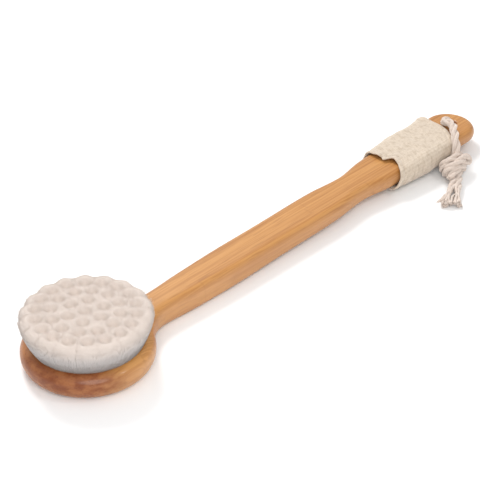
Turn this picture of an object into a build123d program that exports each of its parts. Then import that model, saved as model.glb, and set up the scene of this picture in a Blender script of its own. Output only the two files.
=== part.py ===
# Long-handled body dry brush, lying on its back with the bristles up.
# Origin: middle of the head's back. +X runs along the handle to its tip, +Z points up, millimetres.

import math
import os

from build123d import *

os.makedirs("parts", exist_ok=True)

# Bamboo body
head_radius = 38.0
body_thickness = 16.0
neck_half_width = 10.2
neck_fillet_radius = 28.0
handle_sides = [(80, 11.5), (110, 12.7), (150, 13.0), (200, 13.7), (229, 11.8), (252, 15.2), (290, 16.5)]
tip_radius = 17.5
tip_center_x = 332.5
underside_rise = 6.0
rise_start_x = 45.0
rise_end_x = 300.0
top_edge_radius = 4.0
bottom_edge_radius = 4.5

# Bristle tufts, in rings round a middle one
tufts_in_ring = [1, 6, 12, 18]
ring_radius_at_wood = [0.0, 9.3, 18.7, 28.2]
ring_radius_at_top = [0.0, 10.6, 21.3, 32.0]
ring_height = [19.6, 19.4, 19.0, 18.2]
ring_turn = [0.0, 39.0, 7.0, 9.0]
tuft_hole_radius = 3.0
tuft_hole_depth = 9.0
tuft_foot_radius = 2.9
tuft_top_radius = 5.2
dish_depth = 2.2
dish_edge = 1.0
anchor_length = 5.6
anchor_thickness = 0.5
anchor_height = 2.2

# Cotton sleeve over the grip
sleeve_start_x = 263.0
sleeve_end_x = 320.0
hem_width = 3.5
sleeve_thickness = 1.6
hem_thickness = 2.1
lower_hem_slant = 10.0
upper_hem_slant = 16.0

# Hanging rope
rope_diameter = 5.5
rope_hole_radius = 4.25
rope_hole_lip = 1.5
rope_hole_x = 334.0
rope_join_z = 13.6
top_leg_route = [
    (rope_hole_x, 0, rope_join_z),
    (rope_hole_x, 0, 21.8),
    (328.8, -4.8, 26.4),
    (320.5, -12.4, 26.6),
    (312.6, -20.2, 18.6),
    (308.0, -25.6, 10.4),
]
lower_leg_route = [
    (rope_hole_x, 0, rope_join_z),
    (rope_hole_x, 0, 7.6),
    (331.1, -2.65, 2.95),
    (325.6, -11.6, 2.95),
    (317.3, -21.6, 2.95),
    (309.5, -26.0, 3.6),
]
knot_center = (303.0, -29.5, 6.8)
knot_half_sizes = (10.5, 9.0, 6.6)
knot_turn = 42.0
tail_points = {
    "rope_tail_far": [(297.0, -32.6, 3.3), (282.0, -39.0, 3.1), (267.5, -44.6, 3.9)],
    "rope_tail_near": [(299.5, -37.0, 3.3), (285.6, -45.3, 3.1), (272.0, -54.0, 3.9)],
}
tail_radii = [2.75, 2.85, 3.7]


def tuft_places():
    """Yield ring, angle and number of each tuft, from the middle outwards."""
    number = 0
    for ring, count in enumerate(tufts_in_ring):
        for step in range(count):
            number += 1
            yield ring, 360.0 * step / count + ring_turn[ring], number


def ring_point(radius, angle, z):
    """Point on a ring round the head's middle."""
    turn = math.radians(angle)
    return (radius * math.cos(turn), radius * math.sin(turn), z)


# Bamboo body: outline in plan, trimmed by a handle underside that rises gently to the tip
neck_reach = head_radius + neck_fillet_radius
neck_x = math.sqrt(neck_reach**2 - (neck_half_width + neck_fillet_radius) ** 2)
neck_turn = math.degrees(math.atan2(neck_half_width + neck_fillet_radius, neck_x))

with BuildPart() as bamboo_body:
    with BuildSketch() as plan:
        with BuildLine():
            CenterArc((0, 0), head_radius, neck_turn, 180 - neck_turn)
            CenterArc(
                (neck_x, neck_half_width + neck_fillet_radius), neck_fillet_radius, 180 + neck_turn, 90 - neck_turn
            )
            Spline(
                (neck_x, neck_half_width),
                *handle_sides,
                (tip_center_x, tip_radius),
                tangents=[(1, 0), (1, 0)],
            )
            CenterArc((tip_center_x, 0), tip_radius, 0, 90)
            mirror(about=Plane.XZ)
        make_face()
    extrude(amount=body_thickness)
    with BuildSketch(Plane.XZ) as side_view:
        with BuildLine():
            Line((-head_radius - 1, 0), (rise_start_x, 0))
            Spline((rise_start_x, 0), (rise_end_x, underside_rise), tangents=[(1, 0), (1, 0)])
            Polyline(
                (rise_end_x, underside_rise),
                (tip_center_x + tip_radius + 1, underside_rise),
                (tip_center_x + tip_radius + 1, body_thickness + 1),
                (-head_radius - 1, body_thickness + 1),
                (-head_radius - 1, 0),
            )
        make_face()
    extrude(amount=head_radius + 1, both=True, mode=Mode.INTERSECT)
    top_edges = bamboo_body.faces().sort_by(Axis.Z)[-1].edges()
    fillet(top_edges, radius=top_edge_radius)
    low_faces = bamboo_body.faces().filter_by(lambda face: face.normal_at().Z < -0.9)
    seams = [edge for edge in low_faces.edges() if edge.geom_type == GeomType.LINE and abs(edge.tangent_at(0).Y) > 0.9]
    fillet([edge for edge in low_faces.edges() if edge not in seams], radius=bottom_edge_radius)
    with BuildSketch(Plane.XY.offset(body_thickness)):
        for ring, angle, number in tuft_places():
            with Locations(ring_point(ring_radius_at_wood[ring], angle, 0)):
                Circle(tuft_hole_radius)
    extrude(amount=-tuft_hole_depth, mode=Mode.SUBTRACT)
    with Locations((rope_hole_x, 0, body_thickness)):
        Hole(rope_hole_radius)
    mouths = bamboo_body.edges().filter_by(GeomType.CIRCLE).filter_by(
        lambda edge: abs(edge.arc_center.X - rope_hole_x) < 0.01 and abs(edge.radius - rope_hole_radius) < 0.01
    )
    fillet(mouths, radius=rope_hole_lip)

bamboo_body.part.label = "bamboo_body"
export_step(bamboo_body.part, "parts/bamboo_body.step")

# Bristle tufts: a straight foot in the hole, then a flared bundle that leans outwards, dished at its top
foot_z = body_thickness - tuft_hole_depth
dish_radius = ((tuft_top_radius - dish_edge) ** 2 + dish_depth**2) / (2 * dish_depth)

for ring, angle, number in tuft_places():
    foot = ring_point(ring_radius_at_wood[ring], angle, foot_z)
    mouth = ring_point(ring_radius_at_wood[ring], angle, body_thickness)
    crown = ring_point(ring_radius_at_top[ring], angle, body_thickness + ring_height[ring])
    with BuildPart() as tuft:
        with BuildSketch(Plane(origin=foot)):
            Circle(tuft_foot_radius)
        extrude(amount=tuft_hole_depth)
        with BuildSketch(Plane(origin=mouth)):
            Circle(tuft_foot_radius)
        with BuildSketch(Plane(origin=crown)):
            Circle(tuft_top_radius)
        loft()
        with Locations((crown[0], crown[1], crown[2] - dish_depth + dish_radius)):
            Sphere(dish_radius, mode=Mode.SUBTRACT)
        with Locations(Location(foot, (0, 0, angle))):
            Box(
                anchor_length,
                anchor_thickness,
                anchor_height,
                align=(Align.CENTER, Align.CENTER, Align.MIN),
                mode=Mode.SUBTRACT,
            )
    name = f"bristle_tuft_{number:02d}"
    tuft.part.label = name
    export_step(tuft.part, f"parts/{name}.step")

# Anchors: a flat strip of metal across the foot of each tuft
with BuildPart() as tuft_anchors:
    for ring, angle, number in tuft_places():
        with Locations(Location(ring_point(ring_radius_at_wood[ring], angle, foot_z), (0, 0, angle))):
            Box(
                anchor_length,
                anchor_thickness,
                anchor_height,
                align=(Align.CENTER, Align.CENTER, Align.MIN),
            )

tuft_anchors.part.label = "tuft_anchors"
export_step(tuft_anchors.part, "parts/tuft_anchors.step")

# Cotton sleeve and its overlocked hems: one tube round the grip, cut by slanted planes
grip_sections = [(255.0, 15.6, 5.6), (275.0, 16.3, 5.9), (300.0, 16.8, 6.0), (331.0, 17.5, 6.0)]
lower_cut = Plane(origin=(sleeve_start_x, 0, 0), z_dir=Vector(1, 0, 0).rotate(Axis.Z, -lower_hem_slant))
lower_seam = lower_cut.offset(hem_width)
upper_cut = Plane(origin=(sleeve_end_x, 0, 0), z_dir=Vector(1, 0, 0).rotate(Axis.Z, -upper_hem_slant))
upper_seam = upper_cut.offset(-hem_width)
sleeve_bands = [
    ("lower_hem_stitching", hem_thickness, lower_cut, lower_seam),
    ("cotton_sleeve", sleeve_thickness, lower_seam, upper_seam),
    ("upper_hem_stitching", hem_thickness, upper_seam, upper_cut),
]

for name, thickness, start_plane, end_plane in sleeve_bands:
    with BuildPart() as band:
        for x, half_width, underside in grip_sections:
            middle_z = (body_thickness + underside) / 2
            with BuildSketch(Plane(origin=(x, 0, middle_z), x_dir=(0, 1, 0), z_dir=(1, 0, 0))):
                RectangleRounded(
                    2 * (half_width + thickness),
                    body_thickness - underside + 2 * thickness,
                    bottom_edge_radius + thickness,
                )
        loft()
        split(bisect_by=start_plane, keep=Keep.TOP)
        split(bisect_by=end_plane, keep=Keep.BOTTOM)
        add(bamboo_body.part, mode=Mode.SUBTRACT)
    band.part.label = name
    export_step(band.part, f"parts/{name}.step")


def corner_radii(route):
    """Radius at each inner point: 0.45 of the shorter run over the tangent of half the turn."""
    points = [Vector(*point) for point in route]
    radii = []
    for before, here, after in zip(points, points[1:], points[2:]):
        turn = math.radians((here - before).get_angle(after - here))
        shorter = min((here - before).length, (after - here).length)
        radii.append(0.45 * shorter / math.tan(turn / 2))
    return radii


# Rope legs: from the middle of the hole over the top edge, and back under the handle, both to the knot
for name, route in (("rope_top_leg", top_leg_route), ("rope_lower_leg", lower_leg_route)):
    radii = corner_radii(route)
    with BuildPart() as leg:
        with BuildLine() as path:
            FilletPolyline(*route, radius=radii)
        with BuildSketch(Plane(origin=path.line @ 0, z_dir=path.line % 0)):
            Circle(rope_diameter / 2)
        sweep()
    leg.part.label = name
    export_step(leg.part, f"parts/{name}.step")
    length = path.wires()[0].length
    drawn = math.pi * rope_diameter**2 / 4 * length
    print(name, "length", round(length, 1), "radii", [round(radius, 1) for radius in radii])
    print(name, "volume", round(leg.part.volume, 1), "section times length", round(drawn, 1))

# Knot: the outer shape of an overhand knot in the doubled rope
with BuildPart() as rope_knot:
    Sphere(1.0)
    scale(by=knot_half_sizes)

rope_knot.part.locate(Location(knot_center, (0, 0, knot_turn)))
rope_knot.part.label = "rope_knot"
export_step(rope_knot.part, "parts/rope_knot.step")

# Tails: the two rope ends past the knot, swelling where they untwist
for name, points in tail_points.items():
    with BuildPart() as tail:
        for index, (point, radius) in enumerate(zip(points, tail_radii)):
            ahead = Vector(*points[min(index + 1, 2)]) - Vector(*points[max(index - 1, 0)])
            with BuildSketch(Plane(origin=point, z_dir=(ahead.X, ahead.Y, 0))):
                Circle(radius)
        loft()
    tail.part.label = name
    export_step(tail.part, f"parts/{name}.step")
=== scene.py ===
import math

import bmesh
import bpy
import numpy as np
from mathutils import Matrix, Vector, noise
from mathutils.bvhtree import BVHTree


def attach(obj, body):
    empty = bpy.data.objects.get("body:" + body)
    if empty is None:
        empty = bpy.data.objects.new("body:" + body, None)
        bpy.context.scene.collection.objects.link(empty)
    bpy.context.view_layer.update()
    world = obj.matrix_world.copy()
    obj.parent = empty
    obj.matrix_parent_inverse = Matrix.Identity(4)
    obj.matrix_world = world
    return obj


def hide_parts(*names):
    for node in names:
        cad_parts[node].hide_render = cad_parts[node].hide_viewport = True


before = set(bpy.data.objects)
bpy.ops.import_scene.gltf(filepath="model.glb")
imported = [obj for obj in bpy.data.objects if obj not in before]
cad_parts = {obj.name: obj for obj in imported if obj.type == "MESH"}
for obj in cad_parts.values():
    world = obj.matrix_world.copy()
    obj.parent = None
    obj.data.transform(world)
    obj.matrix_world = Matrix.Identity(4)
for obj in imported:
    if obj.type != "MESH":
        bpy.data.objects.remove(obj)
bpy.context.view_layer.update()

bl_info = {
    "name": "Body dry brush",
    "version": (1, 0, 0),
    "blender": (4, 5, 0),
    "location": "3D View > Sidebar > Dry brush",
    "description": "Builds a bamboo dry brush with bristle tufts, a cotton grip sleeve and a hanging rope",
    "category": "Object",
}

MM = 0.001

# Head and bristle layout, in millimetres: holes and feet as in the part, tops drawn in a little
WOOD_TOP = 16.0
TUFTS_IN_RING = (1, 6, 12, 18)
RING_TURN = (0.0, 39.0, 7.0, 9.0)
RING_RADIUS_AT_WOOD = (0.0, 9.3, 18.7, 28.2)
RING_RADIUS_AT_TOP = (0.0, 10.6, 19.6, 28.0)
OUTER_RING = 3
RIM_RADIUS = 37.3
HOLE_DEPTH = 9.0
TUFT_HOLE_RADIUS = 3.0
FOOT_RADIUS = 2.9
DIMPLE_RADIUS = 4.9
SQUARE_MM = 1e-6

# Bamboo body, in millimetres, as in the part
HEAD_RADIUS = 38.0
TIP_RADIUS = 17.5
TIP_X = 332.5
NECK_HALF_WIDTH = 10.2
NECK_FILLET = 28.0
HANDLE_SIDES = ((80, 11.5), (110, 12.7), (150, 13.0), (200, 13.7), (229, 11.8), (252, 15.2), (290, 16.5))
UNDERSIDE_RISE = 6.0
RISE_START_X = 45.0
RISE_LENGTH = 255.0

# Rope routes, in millimetres: from the hole to the knot, and past it
HOLE_X = 334.0
ROPE_HOLE_RADIUS = 4.25
ROPE_HOLE_LIP = 1.5
TOP_LEG_ROUTE = (
    (334.0, 0.0, 13.6),
    (332.4, 0.8, 18.6),
    (327.6, 1.4, 19.6),
    (325.8, -2.0, 20.8),
    (326.0, -7.5, 21.2),
    (319.0, -14.2, 21.0),
    (312.4, -20.8, 17.6),
    (309.0, -24.6, 12.2),
    (306.6, -27.0, 8.6),
)
LOWER_LEG_ROUTE = (
    (334.0, 0.0, 13.6),
    (334.0, 0.0, 7.6),
    (331.1, -2.65, 2.95),
    (325.6, -11.6, 2.95),
    (317.3, -21.6, 2.95),
    (309.5, -26.0, 3.6),
)
KNOT_CENTRE = (303.0, -29.5, 6.8)
KNOT_PAIR_OFFSET = 2.45
TAIL_HEADING = (-0.858, -0.514)
# Overhand turn of the doubled rope, seen from the knot's middle: towards the tails, sideways, up
KNOT_ROUTE = (
    (-12.0, -1.0, 2.4),
    (-7.5, -1.6, 0.6),
    (-1.5, -3.0, -1.6),
    (3.0, -5.6, -2.6),
    (6.2, -8.0, -1.4),
    (6.6, -7.8, 2.0),
    (5.8, -4.8, 4.8),
    (3.0, -1.4, 5.4),
    (-2.8, 1.0, 5.4),
    (-7.8, 3.0, 4.2),
    (-9.8, 4.8, 0.8),
    (-7.0, 5.0, -1.8),
    (-1.0, 3.6, -1.0),
    (5.0, 1.4, -0.2),
    (10.0, -0.3, -1.8),
    (14.0, -0.7, -3.0),
)
TAIL_ROUTES = {
    "rope_tail_far": ((300.0, -31.6, 4.2), (291.6, -36.2, 3.8), (280.6, -41.4, 3.3), (264.6, -48.0, 3.2)),
    "rope_tail_near": ((300.6, -33.2, 4.2), (292.4, -39.0, 3.8), (282.6, -45.4, 3.3), (269.6, -54.4, 3.2)),
}

# Cotton sleeve, in millimetres
GRIP_MIDDLE_X = 290.0
SLEEVE_LENGTH = 57.0
HEM_EDGE = 0.35
HEM_SEAM = 3.3


class Flow:
    """A socket of a node tree. Arithmetic on it adds Math nodes."""

    def __init__(self, graph, socket):
        self.graph = graph
        self.socket = socket

    def also(self, name):
        """Another output of the same node."""
        return Flow(self.graph, self.socket.node.outputs[name])

    def maths(self, operation, *values):
        return self.graph.node("ShaderNodeMath", {"operation": operation}, dict(enumerate(values)))

    def __add__(self, other):
        return self.maths("ADD", self, other)

    def __radd__(self, other):
        return self.maths("ADD", other, self)

    def __sub__(self, other):
        return self.maths("SUBTRACT", self, other)

    def __rsub__(self, other):
        return self.maths("SUBTRACT", other, self)

    def __mul__(self, other):
        return self.maths("MULTIPLY", self, other)

    def __rmul__(self, other):
        return self.maths("MULTIPLY", other, self)

    def __truediv__(self, other):
        return self.maths("DIVIDE", self, other)

    def __abs__(self):
        return self.maths("ABSOLUTE", self)

    def ramp(self, low, high, start=0.0, end=1.0):
        """Smooth step from low to high."""
        return self.graph.node(
            "ShaderNodeMapRange",
            {"interpolation_type": "SMOOTHSTEP"},
            {"Value": self, "From Min": low, "From Max": high, "To Min": start, "To Max": end},
        )


class Graph:
    """A node tree that is being built."""

    def __init__(self, tree):
        self.tree = tree
        tree.nodes.clear()

    def node(self, kind, settings=None, values=None, out=0):
        """Add a node: its settings first, then its sockets' values or links."""
        made = self.tree.nodes.new(kind)
        for name, value in (settings or {}).items():
            setattr(made, name, value)
        for key, value in (values or {}).items():
            if isinstance(value, Flow):
                self.tree.links.new(value.socket, made.inputs[key])
            else:
                made.inputs[key].default_value = value
        return Flow(self, made.outputs[out]) if len(made.outputs) else made

    def mix(self, mask, first, second):
        """Colour between first and second."""
        first, second = (value if isinstance(value, Flow) else (*value, 1.0) for value in (first, second))
        return self.node("ShaderNodeMix", {"data_type": "RGBA"}, {0: mask, 6: first, 7: second}, out=2)

    def vector(self, operation, *values, out=0):
        return self.node("ShaderNodeVectorMath", {"operation": operation}, dict(enumerate(values)), out)

    def noise(self, place, scale, detail=2.0, rough=0.5):
        return self.node(
            "ShaderNodeTexNoise",
            {"noise_dimensions": "3D"},
            {"Vector": place, "Scale": scale, "Detail": detail, "Roughness": rough},
        )

    def dots(self, place, scale):
        """Distance from the nearest of many scattered points."""
        return self.node("ShaderNodeTexVoronoi", {"feature": "F1"}, {"Vector": place, "Scale": scale})

    def stretched(self, place, x, y, z):
        return self.vector("MULTIPLY", place, (x, y, z))

    def plan_distance(self, at, middle_x=0.0):
        """Distance in plan from a place on the X axis, in metres."""
        flat = self.node("ShaderNodeCombineXYZ", {}, {0: at.also("X") - middle_x, 1: at.also("Y"), 2: 0.0})
        return self.vector("LENGTH", flat, out="Value")

    def join(self, *parts):
        """The geometry of all the parts together."""
        joined = self.node("GeometryNodeJoinGeometry")
        for part in parts:
            self.tree.links.new(part.socket, joined.socket.node.inputs[0])
        return joined

    def finished(self, shape, material, name):
        """End the tree: set the material, realize everything and hand it out."""
        painted = self.node("GeometryNodeSetMaterial", {}, {"Geometry": shape, "Material": material})
        whole = self.node("GeometryNodeRealizeInstances", {}, {"Geometry": painted})
        self.node("NodeGroupOutput", {}, {name: whole})


def finish_material(name, paint):
    """Make a material; paint(graph) gives the shader's values and links by socket."""
    material = bpy.data.materials.new(name)
    material.use_nodes = True
    graph = Graph(material.node_tree)
    shader = graph.node("ShaderNodeBsdfPrincipled", {}, paint(graph))
    graph.node("ShaderNodeOutputMaterial", {}, {"Surface": shader})
    return material


def bumped(graph, height, depth):
    return graph.node("ShaderNodeBump", {}, {"Strength": 1.0, "Distance": depth, "Height": height})


def bamboo_finish(settings):
    """Laminated bamboo strips along the handle, dotted end grain round the head, satin lacquer, with painted
    shade on the head's front and inside the rope hole.
    """

    def paint(graph):
        place = graph.node("ShaderNodeTexCoord", out="Object")
        facing = graph.node("ShaderNodeSeparateXYZ", {}, {0: place.also("Normal")})
        drift = graph.noise(graph.stretched(place, 9.0, 60.0, 60.0), 1.0)
        at = graph.node("ShaderNodeSeparateXYZ", {}, {0: place})
        across = (at.also("Y") + (drift - 0.5) * 0.0012) / settings.strip_width
        strip = across.maths("FLOOR", across)
        tone = graph.node("ShaderNodeTexWhiteNoise", {"noise_dimensions": "1D"}, {"W": strip + 11.5})
        cloud = graph.noise(graph.stretched(place, 14.0, 70.0, 70.0), 1.0, 3.0)
        grain = graph.noise(graph.stretched(place, 14.0, 620.0, 420.0), 1.0, 4.0, 0.65)
        dash = graph.noise(graph.stretched(place, 52.0, 1000.0, 700.0), 1.0, 1.0).ramp(0.60, 0.72)
        seam = abs((across - strip) - 0.5).ramp(0.462, 0.5)
        light = graph.mix(
            tone * 0.5 + cloud * 0.3 + grain.ramp(0.35, 0.65) * 0.75 - 0.3,
            tuple(settings.deep_tone),
            tuple(settings.pale_tone),
        )
        streak = dash * 0.42 + seam * 0.30 + grain.ramp(0.54, 0.74) * 0.24
        # A faint ring where each strip crosses a joint of the cane
        joint = strip.maths("FRACT", at.also("X") / 0.152 + tone * 3.7)
        ring = abs(joint - 0.5).ramp(0.0, 0.007, 1.0, 0.0)
        top = graph.mix(streak + ring * 0.2, light, (0.30, 0.125, 0.038))
        # End grain: cut fibres show as dark dots
        out = graph.plan_distance(at)
        rim = out.ramp(0.0290, 0.0335) * (at / out).ramp(-0.25, -0.65)
        endwise = abs(facing).ramp(0.35, 0.85)
        ends = endwise.maths("MAXIMUM", endwise, rim)
        dots = graph.dots(graph.stretched(place, 620.0, 900.0, 900.0), 1.0).ramp(0.15, 0.5, 1.0, 0.0)
        mottle = graph.noise(graph.stretched(place, 130.0, 130.0, 300.0), 1.0, 3.0).ramp(0.35, 0.7)
        pores = dots * (0.3 + 0.5 * mottle) + mottle * 0.25
        cut = graph.mix(pores, (0.44, 0.175, 0.062), (0.13, 0.03, 0.009))
        side = abs(facing.also("Y")).ramp(0.55, 0.95)
        body = graph.mix(side * 0.4, top, (0.52, 0.28, 0.14))
        colour = graph.mix(ends * 0.9, body, cut)
        # The front of the head is redder and deeper than the handle: partly a deeper wood tone, partly
        # painted shade on the side that faces away from the key light
        upper = at.also("Z").ramp(0.003, 0.011, 0.35, 1.0)
        front_tone_and_shade = (at.also("X") * -0.9 - at.also("Y") * 0.45).ramp(0.012, 0.036) * upper
        colour = graph.mix(front_tone_and_shade * (0.55 + mottle * 0.45), colour, (0.185, 0.045, 0.010))
        # Raw wood inside the hanging hole: rougher, and painted darker as shade in the hole
        hole_raw_and_shaded = graph.plan_distance(at, HOLE_X * MM).ramp(0.0043, 0.0056, 1.0, 0.0)
        colour = graph.mix(hole_raw_and_shaded * 0.55, colour, (0.21, 0.085, 0.03))
        height = grain * 0.6 - dash * 0.5 - dots * ends * 0.8 - seam * 0.4
        return {
            "Base Color": colour,
            "Roughness": 0.44 + grain * 0.12 + hole_raw_and_shaded * 0.3,
            "Normal": bumped(graph, height, 0.00006),
            "Specular IOR Level": 0.3,
            "Coat Weight": 0.3,
            "Coat Roughness": 0.12,
        }

    return finish_material("bamboo_lacquered", paint)


def bristle_finish(settings):
    """Pale natural fibre: dense cut ends on top, fine upright lines down the sides, with painted shade down
    the outer side and at the roots.
    """

    def paint(graph):
        place = graph.node("ShaderNodeTexCoord", out="Object")
        at = graph.node("ShaderNodeSeparateXYZ", {}, {0: place})
        shade = graph.node("ShaderNodeAttribute", {"attribute_name": "shade"}, out="Fac")
        crown = graph.node("ShaderNodeAttribute", {"attribute_name": "crown"}, out="Fac")
        turn = at.maths("ARCTAN2", at.also("Y"), at.also("X"))
        lines = graph.node(
            "ShaderNodeCombineXYZ", {}, {0: turn * 150.0, 1: at.also("Z") * 90.0, 2: shade * 5.0}
        )
        streaks = graph.noise(lines, 1.0, 3.0, 0.6)
        tips = graph.dots(place, 2600.0)
        cloud = graph.noise(place, 90.0, 2.0)
        root_shade = at.also("Z").ramp(0.0158, 0.0182, 1.0, 0.0)
        fleck = crown * tips.ramp(0.25, 0.7) + (1.0 - crown) * streaks.ramp(0.35, 0.7)
        pale = tuple(settings.fibre_tone)
        deep = tuple(channel * 0.84 for channel in pale)
        flank_shade_tone = tuple(channel * share for channel, share in zip(pale, (0.60, 0.635, 0.68)))
        warm = graph.mix(fleck * 0.3 + shade * 0.3 + cloud * 0.25 - 0.15, pale, deep)
        # Painted shade: the ring's outer side is painted cooler and darker towards the wood
        outer = graph.plan_distance(at).ramp(0.0295, 0.0345)
        low = at.also("Z").ramp(0.0215, 0.0275, 1.0, 0.0)
        flank = outer.maths("MAXIMUM", outer, low) * at.also("Z").ramp(0.024, 0.0356, 1.0, 0.0)
        warm = graph.mix(flank, warm, flank_shade_tone)
        # Painted shade near the roots: the fibres are painted darker just above the wood
        colour = graph.mix(root_shade * 0.55, warm, (0.40, 0.31, 0.25))
        return {
            "Base Color": colour,
            "Roughness": 0.62 + fleck * 0.1,
            "Normal": bumped(graph, fleck, 0.00008),
            "Sheen Weight": 0.15,
            "Specular IOR Level": 0.3,
        }

    return finish_material("bristle_fibre_pale", paint)


def cloth_finish(settings):
    """Undyed cotton knit, in rows that follow the sleeve's own map."""

    def paint(graph):
        flat = graph.node("ShaderNodeUVMap", {"uv_map": "cloth"})
        at = graph.node("ShaderNodeSeparateXYZ", {}, {0: flat})
        wander = graph.noise(flat, 260.0, 2.0)
        rib = at.also("X") / settings.rib_width + wander * 0.5
        row = at.also("Y") / (settings.rib_width * 0.8) + wander * 0.5
        wale = abs(rib.maths("SINE", rib * math.pi))
        course = abs(row.maths("SINE", row * math.pi + wale * 1.6))
        knit = wale * 0.55 + course * 0.45
        slub = graph.noise(flat, 520.0, 3.0, 0.7)
        patch = graph.noise(graph.stretched(flat, 190.0, 330.0, 1.0), 1.0, 2.0)
        fleck = graph.noise(flat, 700.0, 1.0).ramp(0.72, 0.80)
        pale = tuple(settings.cotton_tone)
        deep = (pale[0] * 0.64, pale[1] * 0.59, pale[2] * 0.52)
        # Painted shade in the hollows of the knit, along with random slubs and patches of tone
        colour = graph.mix(
            (1.0 - knit) * 0.35 + slub.ramp(0.4, 0.75) * 0.45 + patch.ramp(0.45, 0.7) * 0.35, pale, deep
        )
        colour = graph.mix(fleck * 0.45, colour, (0.36, 0.25, 0.15))
        return {
            "Base Color": colour,
            "Roughness": 0.88 + slub * 0.08,
            "Normal": bumped(graph, knit * 0.6 + slub * 0.5 + patch * 0.4, 0.00035),
            "Sheen Weight": 0.25,
            "Specular IOR Level": 0.2,
        }

    return finish_material("cotton_knit", paint)


def yarn_finish(name, tone, twist_scale):
    """Soft spun cotton: fibres wind round each yarn."""

    def paint(graph):
        flat = graph.node("ShaderNodeUVMap", {"uv_map": "yarn"})
        place = graph.node("ShaderNodeTexCoord", out="Object")
        at = graph.node("ShaderNodeSeparateXYZ", {}, {0: flat})
        shade = graph.node("ShaderNodeAttribute", {"attribute_name": "shade"}, out="Fac")
        wind = at.also("Y") * twist_scale + at.also("X") * 2.0
        lines = graph.node(
            "ShaderNodeCombineXYZ", {}, {0: wind * 3.0, 1: at.also("Y") * 90.0, 2: shade * 9.0}
        )
        fibre = graph.noise(lines, 1.0, 3.0, 0.6)
        fluff = graph.noise(place, 1400.0, 2.0, 0.6)
        deep = (tone[0] * 0.74, tone[1] * 0.70, tone[2] * 0.66)
        depth = fibre.ramp(0.42, 0.7) * 0.4 + shade * 0.3 + fluff.ramp(0.5, 0.75) * 0.2
        colour = graph.mix(depth, tone, deep)
        return {
            "Base Color": colour,
            "Roughness": 0.9 + fluff * 0.06,
            "Normal": bumped(graph, fibre * 0.7 + fluff * 0.4, 0.0002),
            "Sheen Weight": 0.3,
            "Specular IOR Level": 0.2,
        }

    return finish_material(name, paint)


def anchor_finish():
    """Brushed steel strip."""

    def paint(graph):
        place = graph.node("ShaderNodeTexCoord", out="Object")
        brushed = graph.noise(graph.stretched(place, 300.0, 300.0, 6000.0), 1.0, 3.0)
        return {
            "Base Color": graph.mix(brushed, (0.46, 0.45, 0.43), (0.62, 0.61, 0.59)),
            "Metallic": 1.0,
            "Roughness": 0.3 + brushed * 0.2,
            "Normal": bumped(graph, brushed, 0.00002),
        }

    return finish_material("anchor_steel", paint)


def add_object(name, data):
    made = bpy.data.objects.new(name, data)
    bpy.context.scene.collection.objects.link(made)
    return made


def hand_over(piece, body, slot, *nodes):
    """Let a finished piece ride on its body in place of its CAD nodes."""
    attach(piece, body)
    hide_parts(*nodes)
    return piece


def mark_points(mesh, name, values):
    """Store a number at each point of a mesh, for its material or its node tree."""
    mesh.attributes.new(name, "FLOAT", "POINT").data.foreach_set("value", np.asarray(values, np.float32))


def build_mesh(name, points, faces, material, maps=None, shade=None):
    """Mesh object from points in millimetres, with an optional UV map and a shade for each point."""
    mesh = bpy.data.meshes.new(name)
    mesh.from_pydata((np.asarray(points, float) * MM).tolist(), [], faces)
    mesh.polygons.foreach_set("use_smooth", [True] * len(mesh.polygons))
    for label, corners in (maps or {}).items():
        mesh.uv_layers.new(name=label).uv.foreach_set("vector", np.asarray(corners, np.float32).ravel())
    if shade is not None:
        mark_points(mesh, "shade", shade)
    mesh.materials.append(material)
    mesh.validate()
    mesh.update()
    return add_object(name, mesh)


def settle(piece):
    """Replace a piece's mesh with what its modifiers make of it, and remove them."""
    plain = piece.data
    whole = bpy.data.meshes.new_from_object(piece.evaluated_get(bpy.context.evaluated_depsgraph_get()))
    whole.name = piece.name
    piece.modifiers.clear()
    piece.data = whole
    bpy.data.meshes.remove(plain)


def new_tree(name, inputs, output):
    """Geometry node tree with named inputs: its graph, the node of its inputs and their identifiers."""
    tree = bpy.data.node_groups.new(name, "GeometryNodeTree")
    graph = Graph(tree)
    sockets = {}
    for label, kind in inputs.items():
        socket = tree.interface.new_socket(name=label, in_out="INPUT", socket_type=f"NodeSocket{kind}")
        sockets[label] = socket.identifier
    tree.interface.new_socket(name=output, in_out="OUTPUT", socket_type="NodeSocketGeometry")
    return graph, graph.node("NodeGroupInput"), sockets


def grow(piece, tree, sockets, values):
    """Run a node tree on a piece with these inputs, and keep the plain mesh that it makes."""
    modifier = piece.modifiers.new(tree.name, "NODES")
    modifier.node_group = tree
    for label, value in values.items():
        modifier[sockets[label]] = value
    settle(piece)


def band_faces(rows, around, base=0, clockwise=False):
    """Four-sided faces between closed rings of points that follow one another."""
    faces = []
    for row in range(rows - 1):
        low, high = base + row * around, base + (row + 1) * around
        for column in range(around):
            after = (column + 1) % around
            face = (low + column, low + after, high + after, high + column)
            faces.append((face[0], *face[:0:-1]) if clockwise else face)
    return faces


def spline_line(route, step=0.6):
    """Points a step apart, in millimetres, read from the smooth spline that the route controls."""
    data = bpy.data.curves.new("route", "CURVE")
    data.dimensions = "3D"
    data.resolution_u = 32
    spline = data.splines.new("NURBS")
    spline.points.add(len(route) - 1)
    for point, place in zip(spline.points, route):
        point.co = (*(value * MM for value in place), 1.0)
    spline.order_u = 3
    spline.use_endpoint_u = True
    holder = add_object("route", data)
    mesh = bpy.data.meshes.new_from_object(holder)
    line = np.array([tuple(vertex.co) for vertex in mesh.vertices]) / MM
    bpy.data.objects.remove(holder)
    bpy.data.curves.remove(data)
    bpy.data.meshes.remove(mesh)
    return even_line(line, step)


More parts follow.
